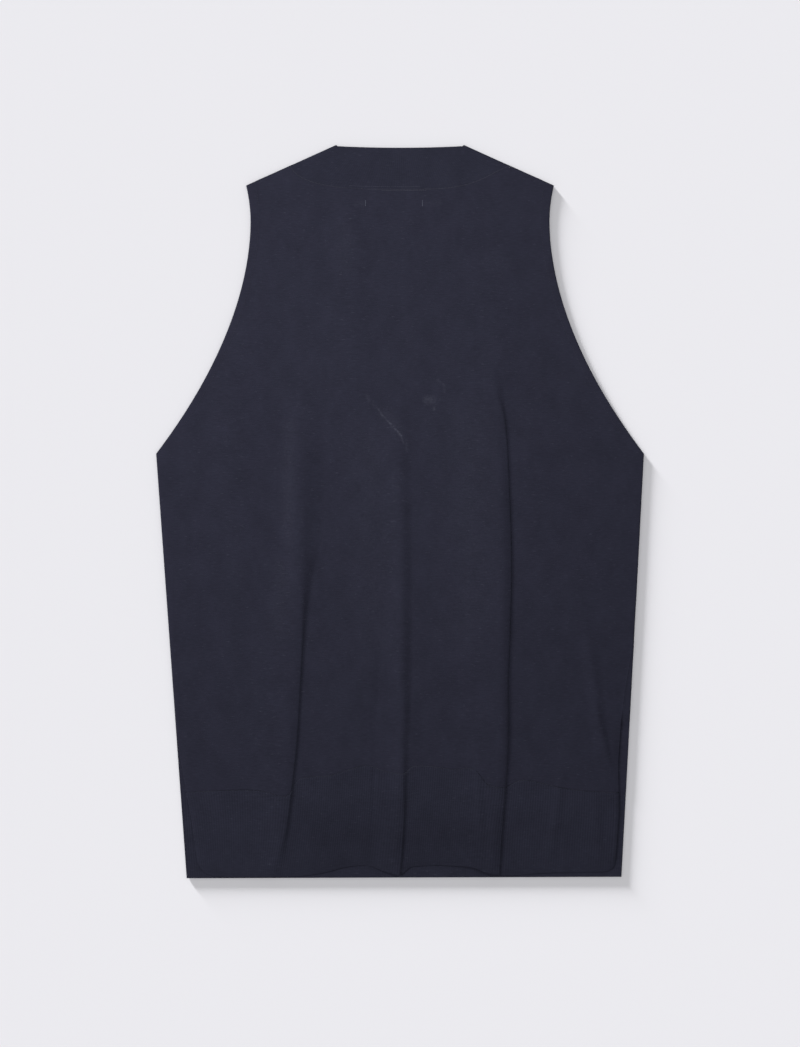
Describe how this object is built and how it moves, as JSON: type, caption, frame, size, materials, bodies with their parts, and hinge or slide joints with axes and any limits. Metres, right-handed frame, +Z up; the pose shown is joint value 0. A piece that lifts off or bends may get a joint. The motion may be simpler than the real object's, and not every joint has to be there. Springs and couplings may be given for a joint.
{
  "type": "knitted sweater vest laid flat",
  "caption": "Sleeveless fine-knit V-neck sweater vest with ribbed neckband and side-slit ribbed hem, lying flat with its back uppermost.",
  "frame": {"origin": "under the middle of the vest, on the surface that it lies on", "axes": "+Z up from the surface, +Y from hem to neck along the vest's length, +X to the right as the back is looked down on"},
  "size_m": [0.47, 0.707, 0.0079],
  "materials": {
    "plain_knit": "matte dark navy fine-gauge plain knit",
    "rib_knit": "matte dark navy 1x1 rib knit"
  },
  "bodies": {
    "root": {"front_panel": "plain_knit", "front_hem": "rib_knit", "back_panel": "plain_knit", "back_hem": "rib_knit", "neckband_back": "rib_knit", "neckband_left": "rib_knit", "neckband_right": "rib_knit"}
  },
  "joints": []
}
